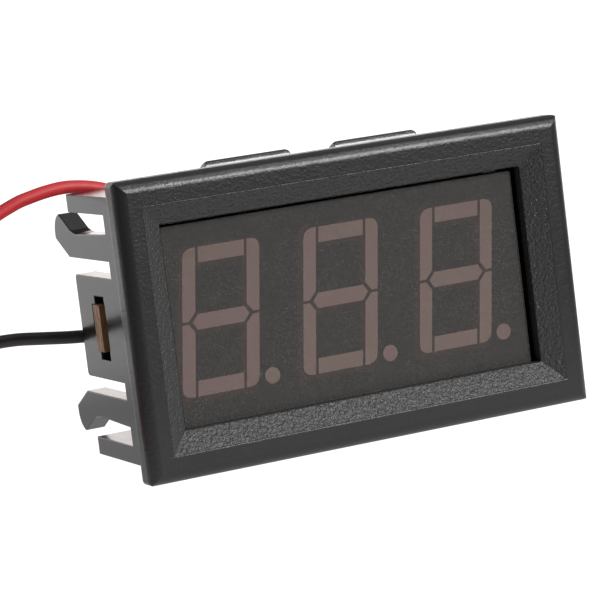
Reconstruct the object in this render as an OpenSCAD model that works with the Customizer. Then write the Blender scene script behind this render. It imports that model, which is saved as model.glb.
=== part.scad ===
// Panel meter with a three digit LED display, for a rectangular panel cut-out.
// X runs along the bezel, +Y from the face to the back, +Z up.
// The origin is under the middle of the meter, on the surface that it stands on.

/* [Bezel] */
// Width of the bezel
bezel_w = 48; // [46:0.5:60]
// Height of the bezel
bezel_h = 29; // [27:0.5:36]
// Thickness of the bezel flange, face to the back of the flange
bezel_t = 2.5; // [2.4:0.1:4]
// Radius of the rounded front edges
bezel_edge_r = 1.2; // [0.4:0.1:1.8]
// Radius of the four corners seen from the front
bezel_corner_r = 0.5; // [0.2:0.1:1.1]
// Width of the sloping sides of the recess, seen from the front
slope_w = 2.05; // [1.2:0.05:2.2]
// Depth of the sloped recess
recess_depth = 1.3; // [0.8:0.1:1.6]
// Gap between the display and the window at each end
window_gap = 0.5; // [0.3:0.05:0.8]
// Gap between the display and the window above and below
window_gap_h = 0.2; // [0.2:0.05:0.6]

/* [Case body] */
// How far the flange stands out beyond each end of the body
flange_rim_w = 0.75; // [0.5:0.05:1.5]
// How far the flange stands out above and below the body
flange_rim_h = 1.55; // [1:0.05:2]
// Depth of the body, bezel face to its rear edge
body_depth = 15.4; // [14:0.1:18]
// Thickness of the top and bottom walls
wall_t = 1.75; // [1.2:0.05:1.9]
// Thickness of the side walls, snap hooks and board plates
side_t = 1.95; // [1.2:0.05:2.1]
// Depth at which the cuts in the side walls end, from the bezel face
notch_front = 5.9; // [5.5:0.1:6.5]
// Depth of the inner frame that keeps the display in place, from the bezel face
frame_front = 4.2; // [3:0.1:4.2]
// Thickness of the inner frame
frame_t = 1.2; // [0.8:0.1:1.2]
// Clearance between the inner frame and the display
frame_clearance = 0.1; // [0.05:0.05:0.2]

/* [Snap hooks] */
// Distance from each hook arm to the top or bottom of the body
arm_gap = 3.6; // [3:0.05:4]
// Height of a hook arm
arm_h = 2.65; // [2:0.05:3]
// How much thinner a hook arm is at the foot of its catch than at its root
arm_taper = 0.3; // [0:0.05:0.5]
// How far the hooks reach behind the bezel face
hook_reach = 19.9; // [18.5:0.1:23]
// How far a hook's tip stands out above its arm
hook_lip = 1.6; // [0.8:0.05:1.7]
// Radius of a hook's rounded rear
hook_r = 2; // [1.5:0.1:2.2]
// Length of the sloping catch face in front of the tip
catch_len = 4.6; // [3:0.1:4.8]
// Length of the slope on the far side of a hook, at its rear
heel_len = 3.3; // [2:0.1:4]

/* [Spring tongues] */
// Width of each spring tongue on the top and bottom walls
tongue_w = 9.2; // [6:0.1:10]
// Gap between the two tongues of a wall
tongue_gap = 4.8; // [3:0.1:8]
// Depth of a tongue's free end, from the bezel face
tongue_front = 7.3; // [6.5:0.1:8]
// Length of the ramp behind a tongue's free end
tongue_ramp = 2.8; // [2:0.1:3.8]
// How far the foot of a tongue's free end stands in front of its crest
tongue_lean = 0.35; // [0.1:0.05:0.5]
// Depth of a tongue's root, from the bezel face
tongue_root = 12.6; // [12:0.1:13]
// How far the upper tongues' free ends stand out from the wall
tongue_rise = 1.7; // [0.8:0.05:1.8]
// Thickness of a tongue
tongue_t = 1.2; // [0.8:0.05:1.4]
// Width of the slit around a tongue
slit = 0.6; // [0.4:0.05:0.8]

/* [Board plates] */
// Gap between the plate that holds the board's end and each hook arm
plate_gap = 1.65; // [1.2:0.05:2.5]
// How far the plates reach behind the rear edge of the body
plate_over = 0.25; // [0:0.05:0.5]
// Gap in the slot above and below the board's end tab
slot_side_gap = 0.85; // [0.3:0.05:1.2]
// Gap in the slot in front of the board
slot_gap = 0.9; // [0.3:0.05:1]
// Depth of the small relief behind the board in each slot
relief_depth = 0.85; // [0.2:0.05:1]
// Height of the small relief behind the board in each slot
relief_h = 2.5; // [1.5:0.1:3]

/* [Display] */
// Gap between the display and each side wall
display_gap = 2.3; // [1:0.05:3]
// Gap between the display and the top and bottom walls
display_gap_h = 1.5; // [1.2:0.05:2.2]
// How far the display sits to the left of the window's middle
display_left = 0.15; // [0:0.05:0.25]
// How far the display sits below the window's middle
display_low = 0.2; // [0:0.05:0.2]
// Thickness of the display module
display_t = 7.1; // [6:0.1:7.5]
// Distance from the digits to the top and bottom of the display
digit_margin = 2.6; // [1.8:0.05:3.5]
// Width of a digit as a share of its height
digit_slim = 0.57; // [0.5:0.01:0.58]
// Shift of the middle digit to the left of the window's middle
digit_shift = 1.1; // [0.5:0.05:1.3]
// Width of a standing segment
segment_w = 1.35; // [1:0.05:1.6]
// Height of a lying segment
segment_h = 1.5; // [1:0.05:1.7]
// Gap between two segments
segment_gap = 0.28; // [0.2:0.02:0.4]
// Gap between a digit and its decimal point
point_gap = 0.6; // [0.4:0.05:0.8]
// Lean of the digits from the upright, in degrees
lean = 7.5; // [0:0.5:10]
// Diameter of a decimal point
point_d = 1.6; // [1.2:0.05:1.8]
// Thickness of the plate that closes the back of the display
substrate_t = 1; // [0.6:0.1:1.6]

/* [Front film] */
// Thickness of the smoked film on the display
film_t = 0.4; // [0.2:0.05:0.6]
// How far the film lies behind the bottom of the recess
film_setback = 0.8; // [0.4:0.05:1]

/* [Board] */
// Gap between the board and each side wall, between the two end tabs
board_gap = 1.3; // [0.6:0.05:2]
// How far the board stands out above and below the display
board_rim = 0.3; // [0.2:0.05:0.7]
// Thickness of the board
board_t = 1.6; // [1.2:0.1:2]
// Height of each end tab
tab_h = 4.6; // [3.5:0.1:5]
// How far a tab's end stands out of the outer face of the side wall
tab_out = 0.25; // [0:0.05:0.4]

/* [Display pins] */
// Number of pins in each of the two rows
pin_count = 6; // [4:1:7]
// Distance between neighbouring pins
pin_pitch = 2.54; // [2.3:0.02:2.6]
// Distance between the two rows
pin_rows = 15.24; // [14:0.02:16]
// Diameter of a pin
pin_d = 0.5; // [0.4:0.05:0.6]
// Diameter of the hole that each pin passes through in the board
pin_hole_d = 0.9; // [0.8:0.05:1]
// How far a pin stands out behind the board
pin_stub = 1.1; // [0.9:0.05:1.4]

/* [Board parts] */
// Distance between neighbouring leads of the controller
chip_pitch = 1.27; // [1:0.01:1.3]
// Width of the controller's body
chip_w = 3.9; // [3.6:0.1:4.2]
// Height of the controller's body
chip_t = 1.4; // [1:0.05:1.8]
// Number of leads on each side of the controller
chip_leads = 8; // [6:1:8]
// How far the controller's leads stand out on each side
chip_reach = 1.05; // [0.9:0.05:1.3]
// Side of the square body of the calibration trimmer
trimmer_w = 4.6; // [4.4:0.1:5]
// Height of the trimmer's body
trimmer_t = 1.9; // [1.8:0.1:2.4]
// Diameter of the trimmer's rotor
rotor_d = 3.2; // [2.8:0.05:3.5]
// Running clearance around the rotor
rotor_clearance = 0.05; // [0.03:0.01:0.08]
// Width of the screwdriver slots in the rotor
rotor_slot_w = 0.6; // [0.4:0.05:0.7]

/* [Leads] */
// Diameter of a lead over its insulation
lead_d = 1.3; // [1.1:0.05:1.5]
// Diameter of a lead's tinned end
tip_d = 0.8; // [0.6:0.05:1]
// Length of a lead's tinned end
tip_l = 4; // [3:0.5:6]
// Radius of a coil at the middle of its turns
coil_r = 6.5; // [6:0.1:7]
// Thickness of the tie around a coil
tie_t = 0.25; // [0.2:0.05:0.3]
// Width of the tie around a coil
tie_w = 2.2; // [1.5:0.1:3]

/* [Hidden] */
$fn = 48;
eps = 0.01;

// Depths from the bezel face, one behind the other
film_front = recess_depth + film_setback;
display_front = film_front + film_t;
board_front = display_front + display_t;
board_back = board_front + board_t;

// Body, display, window and board, one inside another
body_w = bezel_w - 2 * flange_rim_w;
body_h = bezel_h - 2 * flange_rim_h;
inside_w = body_w - 2 * side_t;
display_w = inside_w - 2 * display_gap;
display_h = body_h - 2 * wall_t - 2 * display_gap_h;
window_w = display_w + 2 * window_gap;
window_h = display_h + 2 * window_gap_h;
recess_w = window_w + 2 * slope_w;
recess_h = window_h + 2 * slope_w;
board_w = inside_w - 2 * board_gap;
board_h = display_h + 2 * board_rim;

// Digits, spread over the display's width
digit_h = display_h - 2 * digit_margin;
digit_w = digit_h * digit_slim;
digit_pitch = display_w * 0.337;

// Hooks and plates
arm_low = body_h / 2 - arm_gap - arm_h;
plate_h = 2 * (arm_low - plate_gap);
slot_h = tab_h + 2 * slot_side_gap;
// The lower tongues reach down to the flange's lower edge, so that the meter stands level
rest_height = bezel_h / 2;
lower_rise = rest_height - body_h / 2;
hook_tip = arm_low + arm_h + hook_lip;
tab_end = body_w / 2 + tab_out;

// Depth of the display's segments: through the shell, up to the substrate
segment_depth = display_t - substrate_t;
point_drop = 0.1;

// Controller: the ends of its body beyond the last leads, and the lead's width and thickness
chip_l = chip_leads * chip_pitch - 0.26;
chip_lead_w = 0.4;
chip_lead_t = 0.2;
chip_lift = 0.1;

// Other board parts as [along X, along Z, height]
regulator_size = [4.5, 2.5, 1.5];
regulator_tab = [1.7, 0.6, 0.4];
regulator_lead = [0.45, 0.9, 0.4];
regulator_pitch = 1.5;
diode_size = [4.3, 2.6, 2.1];
diode_end = [0.4, 1.4, 1.1];
diode_foot = [1.2, 1.4, 0.24];
tantalum_size = [3.5, 2.8, 1.9];
tantalum_end = [0.2, 2.2, 1];
terminal_size = [0.7, 0.9, 0.5];

// Chip resistors and capacitors
small_size = [2, 1.25];
end_cap = 0.4;
resistor_t = 0.5;
capacitor_t = 0.9;
small_step = 2.5;

// Places of the larger board parts, as [x, z] on the back of the board, beside the pins
pins_half = (pin_count - 1) / 2 * pin_pitch;
part_gap = 1.7;
chip_at = [1, 0];
trimmer_at = [pins_half + 2.7 * part_gap + trimmer_w / 2 - 0.05, 0];
left_column = -pins_half - part_gap;
regulator_at = [left_column - regulator_size[0] / 2 - 0.85, regulator_size[1] + 1.4];
tantalum_at = [left_column - tantalum_size[0] / 2 - 1, -2.3];
diode_at = [left_column - diode_size[0] / 2 - 0.4, tantalum_at[1] - 5.1];

// Where the two leads start on the board, as [x, z]
red_pad = [-14.5, board_h / 2 - 1.4];
black_pad = [-16.5, -board_h * 0.11];

// Places of the chip resistors and capacitors in one row above and one below the controller
upper_row = chip_at[1] + chip_w / 2 + chip_reach + 1.6;
lower_row = chip_at[1] - chip_w / 2 - chip_reach - 1.2;

// Height of the solder cones under the leads
lead_solder_h = 0.8;

// Where each lead leaves its solder cone, in the frame of the whole meter
pads_y = board_back + lead_solder_h - hook_reach / 2;
red_start = [red_pad[0], pads_y, red_pad[1] + rest_height];
black_start = [black_pad[0], pads_y, black_pad[1] + rest_height];

// The red lead: its first stretch from its start, then down to its coil
red_route = concat([for (step = [
    [0, 0, 0], [0, 1.6, 0.1], [-0.3, 3.2, 0.95], [-1.5, 4.2, 2.55], [-3.5, 4.5, 3.85],
    [-5.7, 4.5, 4.6], [-8.1, 4.5, 4.95], [-10.1, 4.5, 4.85], [-12.1, 4.5, 4.5], [-13.8, 4.5, 4.05]
]) red_start + step], [
    [-31.2, 6.6, 25.85], [-33.8, 6.5, 23.8], [-35.8, 6.3, 21.2], [-37.3, 6, 18.2],
    [-38.3, 5.7, 15.1], [-39.1, 5.3, 12], [-39.8, 4.9, 8.9], [-40.8, 4.4, 6],
    [-42.4, 4, 4.2], [-44, 3.85, 3.6], [-45.5, 3.8, 3.5]
]);
// The black lead, likewise
black_route = concat([for (step = [
    [0, 0, 0], [0, 1.6, 0], [-0.2, 3.2, 0.05], [-1.1, 4.7, 0.25], [-2.9, 5.5, 0.45],
    [-5.1, 5.9, 0.65], [-7.5, 6.3, 0.85], [-10.1, 6.7, 1.15], [-12.7, 7.2, 1.4]
]) black_start + step], [
    [-31.6, 9.6, 13.6], [-33.9, 9.6, 12.8], [-36, 9.3, 11.2],
    [-37.5, 8.8, 8.9], [-38.6, 8.1, 6.7], [-39.9, 7.2, 4.7], [-41.4, 6.4, 3.8],
    [-43, 6, 3.5]
]);
// Middles of the two coils; each is wound two and a quarter turns, one on another
red_coil_at = [-45.5, -2.7];
black_coil_at = [-43, 12.5];
coil_turns_high = 3;
coil_h = coil_turns_high * lead_d;
// Angle around each coil at which the lead's end leaves it, and the straight run after it
red_exit = 180;
black_exit = 90;
coil_tail = 5.4;
// The tail stays just clear of the faces of its coil's lowest turn
tail_r = lead_d / 2 - 0.04;

// ---- helpers ----

// Moves what is drawn from the bezel face's middle to the frame of the whole meter
module placed() {
    translate([0, -hook_reach / 2, rest_height]) children();
}

// Draws a Y-Z outline and carries it along X, from x0 for a width of w
module along_x(x0, w) {
    translate([x0, 0, 0]) rotate([90, 0, 90]) linear_extrude(height = w) children();
}

// Draws an X-Z outline and carries it backwards, from depth y0 for a length of l
module along_y(y0, l) {
    translate([0, y0 + l, 0]) rotate([90, 0, 0]) linear_extrude(height = l) children();
}

module rounded_rect(w, h, r) {
    square([w - 2 * r, h], center = true);
    square([w, h - 2 * r], center = true);
    for (x = [-1, 1], y = [-1, 1]) translate([x * (w / 2 - r), y * (h / 2 - r)]) circle(r);
}

// Outline of a flange of width w and thickness t whose two front edges are rounded
module front_rounded(w, t, r) {
    translate([-w / 2, r]) square([w, t - r]);
    translate([-w / 2 + r, 0]) square([w - 2 * r, t]);
    for (x = [-1, 1]) translate([x * (w / 2 - r), r]) circle(r);
}

// Trapezium that is w_front wide at depth 0 and w_back wide at depth d
module sloped(w_front, w_back, d) {
    grow = (w_front - w_back) / 2 / d;
    polygon([
        [-w_front / 2 - grow, -1], [w_front / 2 + grow, -1],
        [w_back / 2, d], [-w_back / 2, d]
    ]);
}

// Box on the back of the board, centred at [x, z]
module board_box(at, size, lift = 0) {
    translate([at[0] - size[0] / 2, board_back + lift, at[1] - size[1] / 2])
        cube([size[0], size[2], size[1]]);
}

// ---- case ----

module flange() {
    intersection() {
        translate([0, 0, -bezel_h / 2]) linear_extrude(height = bezel_h)
            front_rounded(bezel_w, bezel_t, bezel_edge_r);
        along_x(-bezel_w / 2, bezel_w) rotate(-90) mirror([1, 0])
            front_rounded(bezel_h, bezel_t, bezel_edge_r);
        along_y(0, bezel_t) rounded_rect(bezel_w, bezel_h, bezel_corner_r);
    }
}

// The sloped recess in the face, down to the window
module recess() {
    intersection() {
        translate([0, 0, -bezel_h]) linear_extrude(height = 2 * bezel_h)
            sloped(recess_w, window_w, recess_depth);
        along_x(-bezel_w, 2 * bezel_w) rotate(-90) mirror([1, 0])
            sloped(recess_h, window_h, recess_depth);
    }
}

// Outline that bounds the side walls' arms, with its upper rear corner rounded
module rear_rounded(reach, top, r) {
    translate([reach - r, top - r]) circle(r);
    square([reach - r, top]);
    square([reach, top - r]);
}

// Side wall outline: a hook arm with its catch face, rounded tip and sloping heel
module hook_outline() {
    arm_top = arm_low + arm_h;
    neck_top = arm_top - arm_taper;
    rise = hook_tip - neck_top;
    tip_y = hook_reach - 0.7 * hook_r;
    intersection() {
        polygon([
            [notch_front - eps, arm_low], [hook_reach - heel_len, arm_low],
            [hook_reach, arm_low + heel_len * 0.53], [hook_reach, hook_tip], [tip_y, hook_tip],
            [tip_y - catch_len * 0.63, neck_top + rise * 0.19],
            [tip_y - catch_len * 0.82, neck_top + rise * 0.05], [tip_y - catch_len, neck_top],
            [notch_front - eps, arm_top]
        ]);
        rear_rounded(hook_reach, hook_tip, hook_r);
    }
}

// Side wall outline: the plate behind which the board's end tab is caught
module plate_outline() {
    r = 0.4;
    rear = body_depth + plate_over;
    difference() {
        intersection() {
            translate([notch_front - eps, -plate_h / 2]) square([rear, plate_h]);
            union() {
                rear_rounded(rear, plate_h / 2, r);
                mirror([0, 1]) rear_rounded(rear, plate_h / 2, r);
            }
        }
        translate([board_front - slot_gap, -slot_h / 2])
            square([board_t + slot_gap, slot_h]);
        translate([board_back - eps, tab_h / 2 - relief_h])
            square([relief_depth + eps, relief_h]);
    }
}

module side_wall() {
    along_x(body_w / 2 - side_t, side_t) {
        translate([bezel_t - eps, -body_h / 2]) square([notch_front - bezel_t + eps, body_h]);
        hook_outline();
        mirror([0, 1]) hook_outline();
        plate_outline();
    }
}

// One tongue of the top wall; its free end faces the panel and stands out by rise
module tongue(rise) {
    tongue_tip = body_h / 2 + rise;
    foot = tongue_front - tongue_lean;
    crest = 0.4;
    intersection() {
        along_x(-tongue_w / 2, tongue_w) polygon([
            [foot, body_h / 2 - tongue_t], [foot, body_h / 2], [tongue_front, tongue_tip - crest],
            [tongue_front + crest * 0.3, tongue_tip - crest * 0.3],
            [tongue_front + crest, tongue_tip], [tongue_front + tongue_ramp, body_h / 2],
            [tongue_root + 0.6, body_h / 2],
            [tongue_root + 0.6, body_h / 2 - wall_t], [tongue_root, body_h / 2 - tongue_t]
        ]);
        along_y(tongue_front - 1, tongue_root - tongue_front + 2)
            translate([0, tongue_tip - bezel_h / 4]) rounded_rect(tongue_w, bezel_h / 2, 0.5);
    }
}

// The top wall with its two tongues
module top_wall(rise) {
    spot = (tongue_gap + tongue_w) / 2;
    slit_front = tongue_front - tongue_lean - slit;
    difference() {
        translate([-body_w / 2, bezel_t - eps, body_h / 2 - wall_t])
            cube([body_w, body_depth - bezel_t + eps, wall_t]);
        for (x = [-1, 1])
            translate([x * spot - tongue_w / 2 - slit, slit_front, body_h / 2 - wall_t - 1])
                cube([tongue_w + 2 * slit, tongue_root - slit_front, wall_t + 2]);
    }
    for (x = [-1, 1]) translate([x * spot, 0, 0]) tongue(rise);
}

// The frame inside the walls that the display is pushed through
module inner_frame() {
    along_y(frame_front, frame_t) difference() {
        square([inside_w + 2 * eps, body_h - 2 * wall_t + 2 * eps], center = true);
        translate([-display_left, -display_low])
            square([display_w + 2 * frame_clearance, display_h + 2 * frame_clearance], center = true);
    }
}

module bezel_case() {
    color([0.2, 0.2, 0.21]) placed() {
        difference() {
            flange();
            recess();
            along_y(recess_depth - eps, bezel_t) square([window_w, window_h], center = true);
        }
        top_wall(tongue_rise);
        mirror([0, 0, 1]) top_wall(lower_rise);
        side_wall();
        mirror([1, 0, 0]) side_wall();
        inner_frame();
    }
}

// ---- display ----

// Slab as large as the display seen from the front, from depth y0 for a length of l
module display_slab(y0, l) {
    translate([-display_w / 2 - display_left, y0, -display_h / 2 - display_low])
        cube([display_w, l, display_h]);
}

module front_film() {
    color([0.26, 0.25, 0.25]) placed() display_slab(film_front, film_t);
}

// Leans a point of an X-Z outline with the digits
function leaned(p) = [p[0] + p[1] * tan(lean), p[1]];

// Cut corners of the digits' outer ends
corner_cut = 0.9;
corner_mid = 0.45;
corner_low = 0.12;

// Standing segment of the upper right; the others are its mirror images before the lean
function standing(sx, sz) = [for (p = [
    [digit_w / 2 - segment_w, segment_w / 2 + segment_gap],
    [digit_w / 2 - segment_w / 2, segment_gap / 2],
    [digit_w / 2, segment_gap / 2],
    [digit_w / 2, digit_h / 2 - corner_cut],
    [digit_w / 2 - corner_low, digit_h / 2 - corner_mid],
    [digit_w / 2 - corner_mid, digit_h / 2 - corner_low],
    [digit_w / 2 - corner_cut, digit_h / 2],
    [digit_w / 2 - segment_w, digit_h / 2]
]) leaned([sx * p[0], sz * p[1]])];

// Top or bottom segment, between the standing ones
function lying_end(sz) = [for (p = [
    [-1, 1], [1, 1], [1, 0], [-1, 0]
]) leaned([
    p[0] * (digit_w / 2 - segment_w - segment_gap),
    sz * (digit_h / 2 - (1 - p[1]) * segment_h)
])];

// Middle segment, pointed at both ends
function lying_middle() = [for (p = [
    [-1, 0], [-0.82, 1], [0.82, 1], [1, 0], [0.82, -1], [-0.82, -1]
]) leaned([
    p[0] * (digit_w / 2 - segment_w / 2 - segment_gap * 1.4),
    p[1] * segment_h / 2
])];

// The eight lit areas of one digit as an X-Z outline
module digit_outline() {
    for (sx = [-1, 1], sz = [-1, 1]) polygon(standing(sx, sz));
    for (sz = [-1, 1]) polygon(lying_end(sz));
    polygon(lying_middle());
    translate(leaned([digit_w / 2 + point_d / 2 + point_gap, (point_d - digit_h) / 2 - point_drop]))
        circle(point_d / 2);
}

// Carries one digit through the shell; place is -1, 0 or 1
module digit_solid(place) {
    translate([place * digit_pitch - digit_shift, 0, 0])
        along_y(display_front, segment_depth) digit_outline();
}

module display_shell() {
    color([0.12, 0.12, 0.12]) placed() difference() {
        display_slab(display_front, segment_depth);
        for (place = [-1, 0, 1]) digit_solid(place);
    }
}

module digit(place) {
    color([0.5, 0.43, 0.42]) placed() digit_solid(place);
}

module digit_left() { digit(-1); }
module digit_middle() { digit(0); }
module digit_right() { digit(1); }

// ---- display pins ----

module each_pin() {
    for (i = [0 : pin_count - 1], z = [-1, 1])
        translate([(i - (pin_count - 1) / 2) * pin_pitch, 0, z * pin_rows / 2]) children();
}

// Round bar that points backwards, from depth y0 for a length of l
module rod(y0, l, r) {
    translate([0, y0, 0]) rotate([-90, 0, 0]) cylinder(h = l, r = r, $fn = 24);
}

module display_substrate() {
    color([0.5, 0.42, 0.2]) placed() difference() {
        display_slab(display_front + segment_depth, substrate_t);
        each_pin() rod(display_front + segment_depth - 1, substrate_t + 2, pin_d / 2);
    }
}

module display_pins() {
    color([0.75, 0.75, 0.75]) placed() each_pin()
        rod(display_front + segment_depth, substrate_t + board_t + pin_stub, pin_d / 2);
}

module display_pin_solder() {
    color([0.72, 0.73, 0.75]) placed() each_pin() difference() {
        translate([0, board_back, 0]) rotate([-90, 0, 0])
            cylinder(h = pin_stub - 0.3, r1 = pin_hole_d / 2 + 0.3, r2 = pin_d / 2 + 0.12, $fn = 24);
        rod(board_back - 1, pin_stub + 2, pin_d / 2);
    }
}

// ---- board ----

module main_board() {
    color([0.62, 0.5, 0.36]) placed() difference() {
        union() {
            along_y(board_front, board_t) rounded_rect(board_w, board_h, 0.5);
            translate([-tab_end, board_front, -tab_h / 2]) cube([2 * tab_end, board_t, tab_h]);
        }
        each_pin() rod(board_front - 1, board_t + 2, pin_hole_d / 2);
    }
}

// Gull wing lead in the Y-Z plane: foot on the board, knee, and root at the body
module gull_wing() {
    tip = chip_w / 2 + chip_reach;
    knee = tip - chip_reach * 0.62;
    root = board_back + chip_lift + chip_t * 0.4;
    polygon([
        [board_back, tip], [board_back + chip_lead_t, tip], [board_back + chip_lead_t, knee],
        [root + chip_lead_t, knee - chip_lead_t], [root + chip_lead_t, chip_w / 2],
        [root, chip_w / 2], [root, knee - 2 * chip_lead_t], [board_back, knee - chip_lead_t]
    ]);
}

module controller_body() {
    dimple = chip_l / 10;
    color([0.1, 0.1, 0.1]) placed() difference() {
        board_box(chip_at, [chip_l, chip_w, chip_t], chip_lift);
        translate([chip_at[0] - chip_l / 2 + dimple, 0, chip_at[1] - chip_w / 2 + dimple])
            rod(board_back + chip_lift + chip_t - 0.12, 1, dimple / 2);
    }
}

module controller_leads() {
    color([0.75, 0.76, 0.78]) placed()
        for (i = [0 : chip_leads - 1], s = [0, 1]) translate([chip_at[0], 0, chip_at[1]])
            mirror([0, 0, s])
                along_x((i - (chip_leads - 1) / 2) * chip_pitch - chip_lead_w / 2, chip_lead_w)
                    gull_wing();
}

module regulator_body() {
    color([0.1, 0.1, 0.1]) placed() board_box(regulator_at, regulator_size);
}

module regulator_leads() {
    below = regulator_at[1] - (regulator_size[1] + regulator_lead[1]) / 2;
    above = regulator_at[1] + (regulator_size[1] + regulator_tab[1]) / 2;
    color([0.75, 0.76, 0.78]) placed() {
        for (i = [-1, 0, 1])
            board_box([regulator_at[0] + i * regulator_pitch, below], regulator_lead);
        board_box([regulator_at[0], above], regulator_tab);
    }
}

module diode_body() {
    color([0.1, 0.1, 0.1]) placed() difference() {
        board_box(diode_at, diode_size);
        diode_feet();
    }
}

// The two feet that are bent in under the diode's body
module diode_feet() {
    for (s = [-1, 1])
        board_box([diode_at[0] + s * (diode_size[0] - diode_foot[0]) / 2, diode_at[1]], diode_foot);
}

module diode_leads() {
    color([0.75, 0.76, 0.78]) placed() {
        diode_feet();
        for (s = [-1, 1])
            board_box([diode_at[0] + s * (diode_size[0] + diode_end[0]) / 2, diode_at[1]], diode_end);
    }
}

module tantalum_body() {
    color([0.85, 0.65, 0.2]) placed() board_box(tantalum_at, tantalum_size);
}

module tantalum_leads() {
    out = (tantalum_size[0] + tantalum_end[0]) / 2;
    color([0.75, 0.76, 0.78]) placed()
        for (s = [-1, 1]) board_box([tantalum_at[0] + s * out, tantalum_at[1]], tantalum_end);
}

// Middle of one chip part, standing when up is true, or its two metal ends
module small_middle(at, t, up) {
    size = [small_size[0] - 2 * end_cap, small_size[1]];
    board_box(at, up ? [size[1], size[0], t] : [size[0], size[1], t]);
}

module small_ends(at, t, up) {
    off = (small_size[0] - end_cap) / 2;
    for (s = [-1, 1])
        board_box(
            up ? [at[0], at[1] + s * off] : [at[0] + s * off, at[1]],
            up ? [small_size[1], end_cap, t] : [end_cap, small_size[1], t]
        );
}

// Five resistors stand above the controller and three lie below it
function upper_at(i) = [chip_at[0] + (i - 2.5) * small_step, upper_row];
function lower_at(i) = [chip_at[0] + (i - 1.5) * (small_step + 0.9), lower_row];

module chip_resistors() {
    color([0.12, 0.12, 0.12]) placed() {
        for (i = [1 : 5]) small_middle(upper_at(i), resistor_t, true);
        for (i = [0 : 2]) small_middle(lower_at(i), resistor_t, false);
    }
}

module chip_capacitors() {
    color([0.7, 0.58, 0.42]) placed() {
        small_middle(upper_at(0), capacitor_t, true);
        small_middle(lower_at(3), capacitor_t, false);
    }
}

module chip_end_caps() {
    color([0.75, 0.76, 0.78]) placed() {
        for (i = [1 : 5]) small_ends(upper_at(i), resistor_t, true);
        for (i = [0 : 2]) small_ends(lower_at(i), resistor_t, false);
        small_ends(upper_at(0), capacitor_t, true);
        small_ends(lower_at(3), capacitor_t, false);
    }
}

// ---- calibration trimmer ----

// Floor of the well that the rotor turns in
rotor_floor = 0.8;
rotor_rise = 0.2;

module trimmer_body() {
    color([0.86, 0.84, 0.78]) placed() difference() {
        board_box(trimmer_at, [trimmer_w, trimmer_w, trimmer_t]);
        translate([trimmer_at[0], 0, trimmer_at[1]])
            rod(board_back + rotor_floor, trimmer_t, rotor_d / 2 + rotor_clearance);
    }
}

module trimmer_terminals() {
    color([0.75, 0.76, 0.78]) placed() {
        out = (trimmer_w + terminal_size[0]) / 2;
        for (s = [-1, 1])
            board_box([trimmer_at[0] - out, trimmer_at[1] + s * trimmer_w * 0.28], terminal_size);
        board_box([trimmer_at[0] + out, trimmer_at[1]], terminal_size);
    }
}

module trimmer_rotor() {
    top = board_back + trimmer_t + rotor_rise;
    color([0.8, 0.7, 0.45]) placed() translate([trimmer_at[0], 0, trimmer_at[1]])
        difference() {
            rod(board_back + rotor_floor, trimmer_t + rotor_rise - rotor_floor, rotor_d / 2);
            for (a = [0, 90]) rotate([0, a, 0])
                translate([-rotor_d * 0.36, top - 0.6, -rotor_slot_w / 2])
                    cube([rotor_d * 0.72, 1, rotor_slot_w]);
        }
}

// ---- leads ----

function unit(v) = v / norm(v);

// Direction of a route at its point i
function heading(route, i) =
    unit(route[min(i + 1, len(route) - 1)] - route[max(i - 1, 0)]);

// Ring of eight points around a route's point i, square to its direction
function ring(route, i, r) = let (
    d = i == 0 ? [0, 1, 0] : heading(route, i),
    side = unit(cross(d, abs(d[2]) > 0.9 ? [0, 1, 0] : [0, 0, 1])),
    up = cross(side, d)
) [for (k = [0 : 7]) route[i] + r * (cos(45 * k) * side + sin(45 * k) * up)];

// Tube of radius r along a route, closed at both ends
module tube(route, r) {
    n = len(route);
    points = [for (i = [0 : n - 1]) each ring(route, i, r)];
    faces = concat(
        [[for (k = [0 : 7]) k]],
        [for (i = [0 : n - 2], k = [0 : 7])
            [8 * i + k, 8 * i + 8 + k, 8 * i + 8 + (k + 1) % 8, 8 * i + (k + 1) % 8]],
        [[for (k = [7 : -1 : 0]) 8 * (n - 1) + k]]
    );
    polyhedron(points = points, faces = faces, convexity = 6);
}

// Solder cone where a lead leaves the board, as wide as the lead at its top
module solder_cone(start) {
    translate([start[0], start[1] - lead_solder_h, start[2]]) rotate([-90, 0, 0])
        cylinder(h = lead_solder_h, r1 = lead_d / 2 + 0.6, r2 = lead_d / 2, $fn = 24);
}

module lead_solder() {
    color([0.72, 0.73, 0.75]) {
        solder_cone(red_route[0]);
        solder_cone(black_route[0]);
    }
}

module red_lead() {
    color([0.8, 0.12, 0.15]) tube(red_route, lead_d / 2);
}

module black_lead() {
    color([0.1, 0.1, 0.1]) tube(black_route, lead_d / 2);
}

// The turns of a coil, one on another
module turns() {
    rotate_extrude($fn = 48) translate([coil_r - lead_d / 2, 0]) square([lead_d, coil_h]);
}

// A coil with the straight tail that its end leaves by at an angle; way is -1 or 1
module coil(at, angle, way) {
    translate([at[0], at[1], tie_t]) {
        turns();
        rotate(angle) translate([coil_r, 0, lead_d / 2]) rotate([-90 * way, 0, 0])
            cylinder(h = coil_tail, r = tail_r, $fn = 24);
    }
}

module red_coil() {
    color([0.8, 0.12, 0.15]) coil(red_coil_at, red_exit, 1);
}

module black_coil() {
    color([0.1, 0.1, 0.1]) coil(black_coil_at, black_exit, -1);
}

// Band that holds a coil's turns together, closed around their bundle
module tie(at, angle) {
    inside = lead_d / 2 + tie_t + 0.1;
    translate([at[0], at[1], 0]) rotate(angle) difference() {
        translate([coil_r - inside, -tie_w / 2, 0])
            cube([inside + lead_d / 2 + tie_t, tie_w, coil_h + 2 * tie_t]);
        translate([0, 0, tie_t]) turns();
    }
}

module red_coil_tie() {
    color([0.1, 0.1, 0.1]) tie(red_coil_at, -60);
}

module black_coil_tie() {
    color([0.1, 0.1, 0.1]) tie(black_coil_at, 20);
}

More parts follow.
